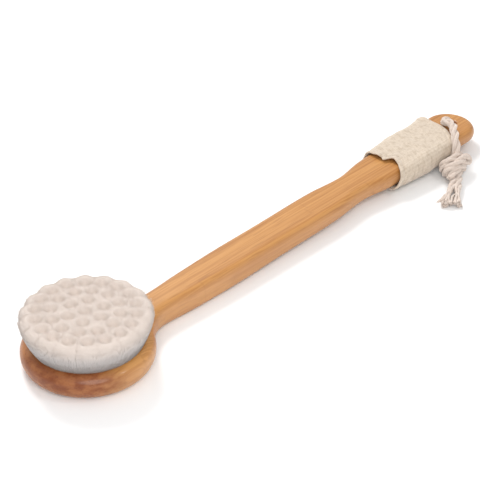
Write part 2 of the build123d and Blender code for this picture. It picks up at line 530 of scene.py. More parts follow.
def even_line(line, step):
    """The same line with its points a step apart."""
    runs = np.linalg.norm(np.diff(line, axis=0), axis=1)
    line = line[np.concatenate([[True], runs > 1e-6])]
    reach = reaches(line)
    spots = np.linspace(0.0, reach[-1], max(4, round(reach[-1] / step) + 1))
    return np.stack([np.interp(spots, reach, line[:, axis]) for axis in range(3)], axis=1)


def reaches(line):
    """How far along a line each of its points lies."""
    return np.concatenate([[0.0], np.cumsum(np.linalg.norm(np.diff(line, axis=0), axis=1))])


def clamp(value):
    return min(1.0, max(0.0, value))


def ease(value):
    """Smooth step for a value from 0 to 1."""
    return value * value * (3 - 2 * value)


def bell(value, middle, width):
    return math.exp(-(((value - middle) / width) ** 2))


def unit(vectors):
    return vectors / np.maximum(np.linalg.norm(vectors, axis=-1, keepdims=True), 1e-12)


def frames_along(line):
    """Two side vectors at each point, carried along a line without twisting."""
    tangents = unit(np.gradient(line, axis=0))
    start = np.array([0.0, 0.0, 1.0]) if abs(tangents[0][2]) < 0.9 else np.array([0.0, 1.0, 0.0])
    sides = [unit(start - tangents[0] * start.dot(tangents[0]))]
    for tangent in tangents[1:]:
        side = sides[-1] - tangent * sides[-1].dot(tangent)
        sides.append(unit(side))
    sides = np.array(sides)
    return sides, np.cross(tangents, sides)


def tube_parts(lines, radii, shades, around=6):
    """Points, faces, yarn map and point shades of closed round yarns along lines."""
    points, faces, corners, tints = [], [], [], []
    angles = np.linspace(0.0, 2 * math.pi, around, endpoint=False)
    base = 0
    for line, radius, shade in zip(lines, radii, shades):
        radius = np.broadcast_to(np.asarray(radius, float), (len(line),))
        first, second = frames_along(line)
        ring = np.cos(angles)[:, None] * first[:, None] + np.sin(angles)[:, None] * second[:, None]
        points.append((line[:, None] + ring * radius[:, None, None]).reshape(-1, 3))
        along = reaches(line) * MM
        faces += band_faces(len(line), around, base)
        for low, high in zip(along, along[1:]):
            for column in range(around):
                left, right = column / around, (column + 1) / around
                corners += [(left, low), (right, low), (right, high), (left, high)]
        last = base + (len(line) - 1) * around
        for start, level, order in ((base, along[0], range(around)[::-1]), (last, along[-1], range(around))):
            faces.append(tuple(start + column for column in order))
            corners += [(column / around, level) for column in order]
        tints += [shade] * len(points[-1])
        base += len(points[-1])
    return np.concatenate(points), faces, corners, tints


def rope_yarns(line, radius, settings, random, phase):
    """Lines and radii of a three-strand rope along a line: each strand's core, then its yarns."""
    first, second = frames_along(line)
    reach = reaches(line)
    strand_pitch = settings.strand_pitch / MM
    yarn_pitch = strand_pitch * 0.8
    strand_radius = radius / 2.0
    yarns = settings.yarns_in_strand
    sine = math.sin(math.pi / yarns)
    yarn_radius = strand_radius * sine / (1 + sine)
    lines, radii = [], []
    for strand in range(3):
        turn = phase + 2 * math.pi * (strand / 3 + reach / strand_pitch)
        out = np.cos(turn)[:, None] * first + np.sin(turn)[:, None] * second
        centre = line + out * strand_radius * 0.98
        lines.append(centre)
        radii.append(np.full(len(line), strand_radius - yarn_radius * 1.15))
        for yarn in range(yarns):
            wobble = 1 + 0.06 * np.sin(reach * random.uniform(0.5, 1.3) + random.uniform(0, 6.28))
            spin = 2 * math.pi * (yarn / yarns - reach / yarn_pitch) + strand
            ring = np.cos(spin)[:, None] * first + np.sin(spin)[:, None] * second
            lines.append(centre + ring * (strand_radius - yarn_radius) * wobble[:, None])
            radii.append(yarn_radius * (1.08 + 0.08 * np.sin(reach * 2.1 + random.uniform(0, 6.28))))
    return lines, radii


def tuft_places():
    """Number, ring, and middle at the wood and at the top, of each tuft from the middle outwards."""
    random = np.random.RandomState(7)
    number = 0
    for ring, count in enumerate(TUFTS_IN_RING):
        for step in range(count):
            number += 1
            turn = math.radians(360.0 * step / count + RING_TURN[ring])
            shift = random.uniform(-0.3, 0.3, 2)
            heading = np.array([math.cos(turn), math.sin(turn)])
            foot, top = heading * RING_RADIUS_AT_WOOD[ring], heading * RING_RADIUS_AT_TOP[ring] + shift
            yield number, ring, foot, top


def crown_height(radius):
    """Height of the trimmed bristles, without dimples, at a distance from the middle."""
    shoulder = 4.6
    over = np.clip(radius - 32.9, 0.0, 4.4)
    return 35.5 - 0.5 * (radius / 33.0) ** 3 - shoulder + np.sqrt(shoulder**2 - over**2)


class DryBrushWood(bpy.types.PropertyGroup):
    strip_width: bpy.props.FloatProperty(
        name="Strip width", description="Width of one bamboo strip", default=0.0062, unit="LENGTH"
    )
    pale_tone: bpy.props.FloatVectorProperty(
        name="Pale strip",
        description="Colour of the palest strips",
        default=(0.54, 0.265, 0.082),
        subtype="COLOR",
    )
    deep_tone: bpy.props.FloatVectorProperty(
        name="Deep strip",
        description="Colour of the deepest strips",
        default=(0.37, 0.152, 0.037),
        subtype="COLOR",
    )


class DryBrushBristles(bpy.types.PropertyGroup):
    dish_depth: bpy.props.FloatProperty(
        name="Dish depth",
        description="How deep the hollow at a tuft's middle is",
        default=0.0032,
        unit="LENGTH",
    )
    fibre_radius: bpy.props.FloatProperty(
        name="Fibre radius", description="Radius of one bristle fibre", default=0.00011, unit="LENGTH"
    )
    tip_density: bpy.props.FloatProperty(
        name="Fibre ends", description="Fibre ends on a square millimetre of the trimmed top", default=8.0
    )
    side_density: bpy.props.FloatProperty(
        name="Side fibres", description="Fibres on a square millimetre of the outer side", default=1.6
    )
    fibre_tone: bpy.props.FloatVectorProperty(
        name="Fibre colour", description="Colour of the fibre", default=(0.725, 0.64, 0.58), subtype="COLOR"
    )


class DryBrushSleeve(bpy.types.PropertyGroup):
    cloth_thickness: bpy.props.FloatProperty(
        name="Cloth thickness", description="Thickness of the knitted cotton", default=0.0009, unit="LENGTH"
    )
    rib_width: bpy.props.FloatProperty(
        name="Rib width", description="Width of one knitted rib", default=0.0016, unit="LENGTH"
    )
    stitch_spacing: bpy.props.FloatProperty(
        name="Stitch spacing",
        description="Distance between overlock stitches",
        default=0.0019,
        unit="LENGTH",
    )
    thread_radius: bpy.props.FloatProperty(
        name="Thread radius", description="Radius of the overlock thread", default=0.00024, unit="LENGTH"
    )
    cotton_tone: bpy.props.FloatVectorProperty(
        name="Cotton colour",
        description="Colour of the undyed cotton",
        default=(0.625, 0.53, 0.43),
        subtype="COLOR",
    )


class DryBrushRope(bpy.types.PropertyGroup):
    diameter: bpy.props.FloatProperty(
        name="Diameter", description="Diameter of the hanging rope", default=0.0055, unit="LENGTH"
    )
    strand_pitch: bpy.props.FloatProperty(
        name="Strand pitch", description="Length of one full turn of a strand", default=0.026, unit="LENGTH"
    )
    yarns_in_strand: bpy.props.IntProperty(
        name="Yarns in a strand", description="Number of yarns round each strand", default=8, min=5, max=12
    )
    rope_tone: bpy.props.FloatVectorProperty(
        name="Rope colour",
        description="Colour of the cotton rope",
        default=(0.70, 0.60, 0.53),
        subtype="COLOR",
    )


class DryBrushStudio(bpy.types.PropertyGroup):
    key_power: bpy.props.FloatProperty(
        name="Key light",
        description="Power of the large light over and behind the brush",
        default=13.3,
        unit="POWER",
    )
    sky_strength: bpy.props.FloatProperty(
        name="Room light", description="Strength of the even light from all round", default=0.62
    )
    floor_tone: bpy.props.FloatVectorProperty(
        name="Floor colour",
        description="Colour of the plain floor",
        default=(0.93, 0.93, 0.93),
        subtype="COLOR",
    )


class DRYBRUSH_OT_studio(bpy.types.Operator):
    """Place the floor, the lights and the camera"""

    bl_idname = "drybrush.studio"
    bl_label = "Studio"

    def execute(self, context):
        settings = context.scene.dry_brush_studio
        scene = context.scene
        scene.view_settings.view_transform = "Standard"
        world = bpy.data.worlds.new("soft_room")
        world.use_nodes = True
        graph = Graph(world.node_tree)
        seen = graph.node("ShaderNodeLightPath", out="Is Camera Ray")
        strength = seen * (1.0 - settings.sky_strength) + settings.sky_strength
        room = graph.node("ShaderNodeBackground", {}, {"Color": (1.0, 1.0, 1.0, 1.0), "Strength": strength})
        graph.node("ShaderNodeOutputWorld", {}, {"Surface": room})
        scene.world = world

        half = 3.0
        floor = bpy.data.meshes.new("studio_floor")
        corners = [(-half, -half, 0), (half, -half, 0), (half, half, 0), (-half, half, 0)]
        floor.from_pydata(corners, [], [(0, 1, 2, 3)])
        tone = (*settings.floor_tone, 1.0)
        matt = {"Base Color": tone, "Roughness": 0.9}
        floor.materials.append(finish_material("floor_matt", lambda graph: matt))
        add_object("studio_floor", floor)

        self.lamp("key_light", (0.437, 0.838, 1.0), (0.15, 0.0, 0.0), 0.6, settings.key_power)
        self.lamp("fill_light", (-0.42, -0.62, 0.62), (0.12, 0.0, 0.0), 0.7, settings.key_power * 0.42)
        self.lamp("rim_light", (0.40, -0.72, 0.98), (0.0, 0.0, 0.01), 0.22, settings.key_power * 0.12)

        camera = bpy.data.cameras.new("studio_camera")
        camera.lens = 120.0
        camera.sensor_width = 36.0
        camera.clip_start = 0.05
        camera.clip_end = 20.0
        holder = add_object("studio_camera", camera)
        target = Vector((0.1478, 0.0223, 0.0))
        turn, lift, distance = math.radians(-46.94), math.radians(33.48), 1.0002
        back = Vector((math.sin(turn) * math.cos(lift), -math.cos(turn) * math.cos(lift), math.sin(lift)))
        holder.location = target + back * distance
        holder.rotation_euler = (-back).to_track_quat("-Z", "Y").to_euler()
        scene.camera = holder
        return {"FINISHED"}

    @staticmethod
    def lamp(name, place, target, size, power):
        light = bpy.data.lights.new(name, "AREA")
        light.shape = "DISK"
        light.size = size
        light.energy = power
        holder = add_object(name, light)
        holder.location = place
        holder.rotation_euler = (Vector(target) - Vector(place)).to_track_quat("-Z", "Y").to_euler()


class DRYBRUSH_OT_rope(bpy.types.Operator):
    """Lay the hanging rope: its two legs, the knot and the frayed tails"""

    bl_idname = "drybrush.rope"
    bl_label = "Hanging rope"

    def execute(self, context):
        settings = context.scene.dry_brush_rope
        cotton = yarn_finish("rope_cotton_spun", tuple(settings.rope_tone), 900.0)
        random = np.random.RandomState(3)
        knot = self.knot(settings, cotton, random)
        tails = [self.tail(name, route, settings, cotton, random) for name, route in TAIL_ROUTES.items()]
        legs = (
            ("rope_top_leg", TOP_LEG_ROUTE, (HOLE_X, 0.0, WOOD_TOP), 0.5),
            ("rope_lower_leg", LOWER_LEG_ROUTE, (HOLE_X, 0.0, 6.0), 2.2),
        )
        for name, route, mouth, phase in legs:
            line = spline_line(route)
            # Where it hangs free the rope swells a little
            lines, radii = rope_yarns(line, settings.diameter / MM / 2 * 1.08, settings, random, phase)
            points, faces, corners, shades = tube_parts(lines, radii, random.uniform(0.0, 1.0, len(lines)))
            leg = build_mesh(f"{name}_yarns", points, faces, cotton, {"yarn": corners}, shades)
            hand_over(leg, "hanging_rope", "rope_cotton", name)
            [value * MM for value in mouth]
            round(reaches(line)[-1]) * MM
        return {"FINISHED"}

    @staticmethod
    def knot(settings, cotton, random):
        """Both rope ends side by side through one overhand turn."""
        ahead = np.array([*TAIL_HEADING, 0.0])
        sideways = np.array([-ahead[1], ahead[0], 0.0])
        upwards = np.array([0.0, 0.0, 1.0])
        centre = np.array(KNOT_CENTRE)
        axes = np.array([ahead, sideways, upwards])
        route = [centre + np.array(place) @ axes for place in KNOT_ROUTE]
        line = spline_line(route, 0.5)
        tangents = unit(np.gradient(line, axis=0))
        # The pair lies flat against the knot's middle, like a ribbon
        beside = unit(np.cross(tangents, unit(line - centre)))
        for _ in range(6):
            beside[1:-1] = unit(beside[:-2] + 2 * beside[1:-1] + beside[2:])
        lines, radii = [], []
        for side in (-1, 1):
            strand_line = line + beside * side * KNOT_PAIR_OFFSET
            more, thick = rope_yarns(strand_line, settings.diameter / MM / 2, settings, random, side)
            lines += more
            radii += thick
        points, faces, corners, shades = tube_parts(lines, radii, random.uniform(0.0, 1.0, len(lines)))
        points[:, 2] = np.maximum(points[:, 2], 0.25)
        knot = build_mesh("rope_knot_turns", points, faces, cotton, {"yarn": corners}, shades)
        return hand_over(knot, "hanging_rope", "rope_cotton", "rope_knot")

    @staticmethod
    def tail(name, route, settings, cotton, random):
        """One rope end: it untwists, its strands part, and every yarn ends in loose fibres."""
        line = spline_line(route)
        whole = np.linspace(0.0, 1.0, len(line))
        open_up = np.clip((whole - 0.38) / 0.62, 0.0, 1.0) ** 1.3
        lines, radii = rope_yarns(line, settings.diameter / MM / 2, settings, random, 1.0)
        loose, thick, tints = [], [], []
        level = np.array([0.0, 0.0, 1.0])
        lateral = unit(np.cross(unit(np.gradient(line, axis=0)), level))
        for number, (yarn, radius) in enumerate(zip(lines, radii)):
            strand, place = divmod(number, settings.yarns_in_strand + 1)
            if place == 0:
                keep = max(6, int(len(yarn) * 0.55))
                loose.append(yarn[:keep])
                thick.append(np.asarray(radius)[:keep])
                tints.append(0.5)
                continue
            reach = (strand - 1) * 2.4 + random.uniform(-1.7, 1.7)
            lift = random.uniform(-2.3, 1.6)
            wave = 0.3 * np.sin(whole * random.uniform(9, 16) + random.uniform(0, 6.28))
            free = line + lateral * (reach + wave)[:, None] + level * (lift + wave * 0.6)[:, None]
            path = yarn * (1 - open_up)[:, None] + free * open_up[:, None]
            stop = len(path) - random.randint(0, 7)
            path = path[:stop]
            path[:, 2] = np.maximum(path[:, 2], 0.75)
            loose.append(path)
            thick.append(np.asarray(radius)[:stop] * (1.0 + 1.1 * open_up[:stop]))
            tints.append(random.uniform(0, 1))
            heading = unit(path[-1] - path[-4])
            for _ in range(5):
                bend = random.uniform(-0.55, 0.55, 3)
                span = random.uniform(1.4, 3.0)
                steps = np.linspace(0.0, 1.0, 5)[:, None]
                base = path[-3] + random.uniform(-0.4, 0.4, 3)
                hair = base + heading * span * steps + bend * span * steps**2 * 0.7
                hair[:, 2] = np.maximum(hair[:, 2], 0.3)
                loose.append(hair)
                thick.append(np.linspace(0.26, 0.08, 5))
                tints.append(random.uniform(0, 1))
        points, faces, corners, shades = tube_parts(loose, thick, tints, 5)
        points[:, 2] = np.maximum(points[:, 2], 0.15)
        tail = build_mesh(f"{name}_frayed", points, faces, cotton, {"yarn": corners}, shades)
        return hand_over(tail, "hanging_rope", "rope_cotton", name)


class DRYBRUSH_OT_body(bpy.types.Operator):
    """Shape the bamboo body with its soft edges and holes, and finish the steel anchors inside it"""

    bl_idname = "drybrush.body"
    bl_label = "Bamboo body"

    def execute(self, context):
        anchors = anchor_finish()
        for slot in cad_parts["tuft_anchors"].material_slots:
            slot.material = anchors
        bamboo = bamboo_finish(context.scene.dry_brush_wood)
        body = self.solid(bamboo)
        cutter = self.cutter(bamboo)
        cut = body.modifiers.new("holes", "BOOLEAN")
        cut.operation = "DIFFERENCE"
        cut.solver = "EXACT"
        cut.object = cutter
        settle(body)
        drilled = cutter.data
        bpy.data.objects.remove(cutter)
        bpy.data.meshes.remove(drilled)
        if not body.data.polygons:
            raise RuntimeError("the holes could not be drilled")
        body.data.polygons.foreach_set("use_smooth", [True] * len(body.data.polygons))
        body.data.set_sharp_from_angle(angle=math.radians(40))
        hand_over(body, "brush", "bamboo", "bamboo_body")
        return {"FINISHED"}

    @staticmethod
    def outline():
        """Points of one side of the plan from the head's front to the tip, with their outward normals."""
        fillet_y = NECK_HALF_WIDTH + NECK_FILLET
        neck_x = math.sqrt((HEAD_RADIUS + NECK_FILLET) ** 2 - fillet_y**2)
        neck_turn = math.atan2(fillet_y, neck_x)

        def arc(start, end, count):
            turns = np.linspace(start, end, count)
            return np.stack([np.cos(turns), np.sin(turns)], axis=1)

        head = arc(math.pi, neck_turn, 60)
        neck = arc(math.pi + neck_turn, 1.5 * math.pi, 18)[1:]
        knots = np.array([(neck_x, NECK_HALF_WIDTH), *HANDLE_SIDES, (TIP_X, TIP_RADIUS)])
        slopes = np.zeros(len(knots))
        slopes[1:-1] = (knots[2:, 1] - knots[:-2, 1]) / (knots[2:, 0] - knots[:-2, 0])
        xs = np.linspace(neck_x, TIP_X, 110)[1:-1]
        spans = np.clip(np.searchsorted(knots[:, 0], xs) - 1, 0, len(knots) - 2)
        width = knots[spans + 1, 0] - knots[spans, 0]
        t = (xs - knots[spans, 0]) / width
        ys = (
            (2 * t**3 - 3 * t**2 + 1) * knots[spans, 1]
            + (t**3 - 2 * t**2 + t) * width * slopes[spans]
            + (3 * t**2 - 2 * t**3) * knots[spans + 1, 1]
            + (t**3 - t**2) * width * slopes[spans + 1]
        )
        handle = np.stack([xs, ys], axis=1)
        handle_normals = unit(np.stack([-np.gradient(ys, xs), np.ones(len(xs))], axis=1))
        tip = arc(math.pi / 2, 0.0, 34)
        places = (
            head * HEAD_RADIUS,
            np.array([neck_x, fillet_y]) + neck * NECK_FILLET,
            handle,
            np.array([TIP_X, 0.0]) + tip * TIP_RADIUS,
        )
        return np.concatenate(places), np.concatenate((head, -neck, handle_normals, tip))

    def solid(self, material):
        """The body without its holes: closed sections swept from the head's front to the tip."""
        places, normals = self.outline()
        flat = np.linspace(1.0, 0.0, 9)[1:-1]
        arc = np.linspace(0.0, math.pi / 2, 10)
        sections = []
        for (x, y), (nx, ny) in zip(places, normals):
            # The edges are rounder on the head than on the handle
            slim = ease(clamp((x - 20.0) / 55.0))
            top_edge = 6.4 - 1.4 * slim
            low_edge = 8.6 - 3.7 * slim
            upper = [(top_edge * (1 - math.sin(a)), WOOD_TOP - top_edge * (1 - math.cos(a))) for a in arc]
            lower = [(low_edge * (1 - math.cos(a)), low_edge * (1 - math.sin(a))) for a in arc]
            side = [(x - nx * inset, y - ny * inset, level) for inset, level in upper]
            for inset, rise in lower:
                spot = x - nx * inset
                underside = UNDERSIDE_RISE * ease(clamp((spot - RISE_START_X) / RISE_LENGTH))
                side.append((spot, y - ny * inset, underside + rise))
            mirrored = [(a, -b, c) for a, b, c in side]
            top = [(side[0][0], side[0][1] * (2 * k - 1), side[0][2]) for k in 1 - flat]
            bottom = [(side[-1][0], side[-1][1] * (2 * k - 1), side[-1][2]) for k in flat]
            sections.append(top + side + bottom + mirrored[::-1])
        sections = np.array(sections)
        faces = band_faces(*sections.shape[:2])
        body = build_mesh("bamboo_body_shaped", sections.reshape(-1, 3), faces, material)
        self.close(body.data)
        return body

    def cutter(self, material):
        """What is drilled out: a blind hole for each tuft, and the rope hole with its rounded mouths."""
        blind = [(TUFT_HOLE_RADIUS, WOOD_TOP - HOLE_DEPTH), (TUFT_HOLE_RADIUS, WOOD_TOP + 1.0)]
        profiles = [(tuple(foot), blind, 24) for *_, foot, _ in tuft_places()]
        depths = np.linspace(0.0, ROPE_HOLE_LIP, 7)
        lip = [(ROPE_HOLE_LIP * (1 - math.sqrt(1 - (1 - d / ROPE_HOLE_LIP) ** 2)), d) for d in depths]
        wide_mouth = ROPE_HOLE_RADIUS + ROPE_HOLE_LIP
        low_mouth = [(ROPE_HOLE_RADIUS + wide, UNDERSIDE_RISE + depth) for wide, depth in lip]
        high_mouth = [(ROPE_HOLE_RADIUS + wide, WOOD_TOP - depth) for wide, depth in reversed(lip)]
        through = [(wide_mouth, UNDERSIDE_RISE - 1.0), *low_mouth, *high_mouth, (wide_mouth, WOOD_TOP + 1.0)]
        profiles.append(((HOLE_X, 0.0), through, 48))
        points, faces = [], []
        for (x, y), profile, count in profiles:
            base = len(points)
            turns = np.linspace(0.0, 2 * math.pi, count, endpoint=False)
            for radius, level in profile:
                points += [(x + radius * math.cos(a), y + radius * math.sin(a), level) for a in turns]
            faces += band_faces(len(profile), count, base)
            faces.append(tuple(base + column for column in reversed(range(count))))
            faces.append(tuple(base + (len(profile) - 1) * count + column for column in range(count)))
        cutter = build_mesh("drilled_holes", points, faces, material)
        self.close(cutter.data)
        return cutter

    @staticmethod
    def close(mesh):
        """Merge the points that meet and turn every face outwards."""
        shape = bmesh.new()
        shape.from_mesh(mesh)
        bmesh.ops.remove_doubles(shape, verts=shape.verts, dist=2e-6)
        bmesh.ops.recalc_face_normals(shape, faces=shape.faces)
        shape.to_mesh(mesh)
        shape.free()


class DRYBRUSH_OT_bristles(bpy.types.Operator):
    """Set the bristle tufts: packed fibre with a hollow at the middle of each top"""

    bl_idname = "drybrush.bristles"
    bl_label = "Bristle tufts"

    spokes = 56
    top_rings = 9
    side_rings = 7

    def execute(self, context):
        settings = context.scene.dry_brush_bristles
        material = bristle_finish(settings)
        tree, sockets = self.fibre_tree()
        places = list(tuft_places())
        tops = np.array([top for *_, top in places])
        for number, ring, foot, top in places:
            name = f"bristle_tuft_{number:02d}"
            core = self.core(name, ring, foot, top, tops, settings, material)
            inputs = {
                "Fibre radius": settings.fibre_radius,
                "End density": settings.tip_density / SQUARE_MM,
                "Side density": settings.side_density / SQUARE_MM if ring == OUTER_RING else 0.0,
                "Seed": number,
                "Middle": (top[0] * MM, top[1] * MM, 0.0),
                "Material": material,
            }
            grow(core, tree, sockets, inputs)
            hand_over(core, "brush", "bristle_fibre", name)
        bpy.data.node_groups.remove(tree)
        return {"FINISHED"}

    def spans(self, headings, ring, top, tops):
        """Reach of a top along each heading, to a neighbour or the rim, and which of them end at the rim."""
        edge = np.full(self.spokes, 12.0)
        # Tufts of the outer ring overlap a little, so that the brush's side has no slits
        lap = 0.4 if ring == OUTER_RING else 0.06
        for other in tops:
            gap = other - top
            apart = np.linalg.norm(gap)
            if 0.1 < apart < 20.0:
                facing = headings @ (gap / apart)
                border = (apart / 2 + lap) / np.maximum(facing, 0.05)
                edge = np.where(facing > 0.05, np.minimum(edge, border), edge)
        outer = np.zeros(self.spokes)
        if ring < OUTER_RING:
            return edge, outer
        for index, heading in enumerate(headings):
            for _ in range(12):
                spot = top + heading * edge[index]
                over = np.linalg.norm(spot) - RIM_RADIUS
                if over > 0.001:
                    edge[index] -= over / max(0.35, heading @ (spot / np.linalg.norm(spot)))
                    outer[index] = 1.0
        return edge, outer

    def core(self, name, ring, foot, top, tops, settings, material):
        """Packed fibre of one tuft: foot in its hole, flared column, dished top."""
        turns = np.linspace(0.0, 2 * math.pi, self.spokes, endpoint=False)
        headings = np.stack([np.cos(turns), np.sin(turns)], axis=1)
        edge, outer = self.spans(headings, ring, top, tops)
        rows, crowns = [], []
        for share in np.linspace(0.0, 1.0, self.top_rings + 1)[1:]:
            spots = top + headings * (edge * share**0.9)[:, None]
            rows.append(np.column_stack([spots, self.heights(spots, tops, settings)]))
            crowns.append(1.0)
        rim = rows[-1]
        # Round the outer edge of each tuft a little more than the common rim, near the top only
        off = np.arctan2(rim[:, 1], rim[:, 0]) - math.atan2(top[1], top[0])
        off = np.abs((off + math.pi) % (2 * math.pi) - math.pi) / math.radians(10.0)
        notch = outer * 0.25 * np.minimum(off, 1.1) ** 2
        for share in np.linspace(1.0, 0.0, self.side_rings + 1)[1:]:
            scale = 0.842 + 0.158 * (1.0 - (1.0 - share) ** 1.5)
            low = WOOD_TOP + 0.05
            level = low + (rim[:, 2] - low) * share
            rows.append(np.column_stack([rim[:, :2] * scale, level]))
            crowns.append(0.0)
        for row, strength in ((self.top_rings - 2, 0.35), (self.top_rings - 1, 1.0), (self.top_rings, 0.5)):
            plan = rows[row][:, :2]
            inward = plan / np.maximum(np.linalg.norm(plan, axis=1, keepdims=True), 1.0)
            rows[row][:, :2] -= inward * (notch * strength)[:, None]
        foot_z = WOOD_TOP - HOLE_DEPTH
        # The foot sits a hair inside its hole
        for level in (WOOD_TOP - 0.05, foot_z):
            plan = foot + headings * (FOOT_RADIUS - 0.05)
            rows.append(np.column_stack([plan, np.full(self.spokes, level)]))
            crowns.append(0.0)
        count = self.spokes
        points = [np.array([[*top, self.heights(top[None], tops, settings)[0]]]), *rows]
        points.append(np.array([[*foot, foot_z]]))
        faces = [(0, 1 + index, 1 + (index + 1) % count) for index in range(count)]
        faces += band_faces(len(rows), count, 1, clockwise=True)
        last = 1 + (len(rows) - 1) * count
        faces += [(last + (index + 1) % count, last + index, last + count) for index in range(count)]
        shade = np.full(last + count + 1, 0.35)
        core = build_mesh(f"{name}_fibres", np.concatenate(points), faces, material, shade=shade)
        side = np.zeros(len(shade))
        for row in range(self.top_rings - 1, self.top_rings + self.side_rings):
            side[1 + row * count : 1 + (row + 1) * count] = outer
        marks = {"crown": np.concatenate([[1.0], np.repeat(crowns, count), [0.0]]), "flank": side}
        for label, values in marks.items():
            mark_points(core.data, label, values)
        core.data.set_sharp_from_angle(angle=math.radians(42))
        return core

    @staticmethod
    def heights(spots, tops, settings):
        """Height of the trimmed tops: a bowl at each tuft's middle, and valleys between tufts at the rim."""
        radius = np.linalg.norm(spots, axis=1)
        height = crown_height(np.minimum(radius, RIM_RADIUS))
        reach = np.linalg.norm(spots[:, None] - tops[None], axis=2).min(axis=1) / DIMPLE_RADIUS
        height -= settings.dish_depth / MM * (1.0 - ease(np.clip((reach - 0.22) / 0.78, 0.0, 1.0)))
        turn = np.degrees(np.arctan2(spots[:, 1], spots[:, 0])) - RING_TURN[OUTER_RING]
        between = 0.5 - 0.5 * np.cos(np.radians(turn * TUFTS_IN_RING[OUTER_RING]))
        worn = 0.62 + 0.38 * np.cos(np.radians(turn + RING_TURN[OUTER_RING] - 85.0))
        return height - 2.2 * worn * between**1.3 * np.clip((radius - 31.0) / 4.5, 0.0, 1.0) ** 1.5

    @staticmethod
    def fibre_tree():
        """Fibre ends over the top and fibres down the outer side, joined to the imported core."""
        inputs = {
            "Core": "Geometry",
            "Fibre radius": "Float",
            "End density": "Float",
            "Side density": "Float",
            "Seed": "Int",
            "Middle": "Vector",
            "Material": "Material",
        }
        graph, given, sockets = new_tree("tuft_fibres", inputs, "Tuft")
        seed = given.also("Seed")
        place = graph.node("GeometryNodeInputPosition")
        pole = (0.0, 0.0, -0.077)

        def named(label):
            return graph.node("GeometryNodeInputNamedAttribute", {"data_type": "FLOAT"}, {"Name": label})

        def chance(low, high, salt):
            values = {2: low, 3: high, "Seed": seed + salt}
            return graph.node("FunctionNodeRandomValue", {"data_type": "FLOAT"}, values, out=1)

        def fibres(mask, density, heading, length, buried, thickness, salt):
            spots = graph.node(
                "GeometryNodeDistributePointsOnFaces",
                {"distribute_method": "RANDOM"},
                {"Mesh": given, "Selection": mask, "Density": density, "Seed": seed + salt},
            )
            heading = heading(spots.also("Normal"))
            back = graph.node("ShaderNodeVectorMath", {"operation": "SCALE"}, {0: heading, "Scale": buried})
            moved = graph.node("GeometryNodeSetPosition", {}, {"Geometry": spots, "Offset": back})
            turned = graph.node("FunctionNodeAlignRotationToVector", {"axis": "Z"}, {"Vector": heading})
            fibre = graph.node(
                "GeometryNodeMeshCone",
                {"fill_type": "NGON"},
                {"Vertices": 3, "Side Segments": 1, "Radius Top": 0.55, "Radius Bottom": 1.0, "Depth": 1.0},
            )
            girth = given.also("Fibre radius") * thickness
            size = graph.node("ShaderNodeCombineXYZ", {}, {0: girth, 1: girth, 2: length})
            placed = graph.node(
                "GeometryNodeInstanceOnPoints",
                {},
                {"Points": moved, "Instance": fibre, "Rotation": turned, "Scale": size},
            )
            shaded = graph.node(
                "GeometryNodeStoreNamedAttribute",
                {"data_type": "FLOAT", "domain": "INSTANCE"},
                {"Geometry": placed, "Name": "shade", "Value": chance(0.0, 1.0, salt + 5)},
            )
            return graph.node("GeometryNodeRealizeInstances", {}, {"Geometry": shaded})

        def splayed(_):
            lean = graph.vector("NORMALIZE", graph.vector("SUBTRACT", place, pole))
            apart = graph.vector("SUBTRACT", place, given.also("Middle"))
            flat = graph.vector("MULTIPLY", apart, (60.0, 60.0, 0.0))
            return graph.vector("NORMALIZE", graph.vector("ADD", lean, flat))

        def upright(normal):
            lean = graph.vector("NORMALIZE", graph.vector("SUBTRACT", place, pole))
            push = graph.vector("MULTIPLY", normal, (0.05, 0.05, 0.0))
            return graph.vector("NORMALIZE", graph.vector("ADD", lean, push))

        crown = graph.node("ShaderNodeMath", {"operation": "GREATER_THAN"}, {0: named("crown"), 1: 0.9})
        flank = graph.node("ShaderNodeMath", {"operation": "GREATER_THAN"}, {0: named("flank"), 1: 0.5})
        end_length, side_length = chance(0.0011, 0.0014, 1), chance(0.004, 0.0065, 4)
        end_girth, side_girth = chance(0.8, 1.2, 2), chance(0.7, 1.1, 6)
        ends = fibres(crown, given.also("End density"), splayed, end_length, -0.001, end_girth, 3)
        sides = fibres(flank, given.also("Side density"), upright, side_length, -0.004, side_girth, 9)
        graph.finished(graph.join(sides, ends, given), given.also("Material"), "Tuft")
        return graph.tree, sockets


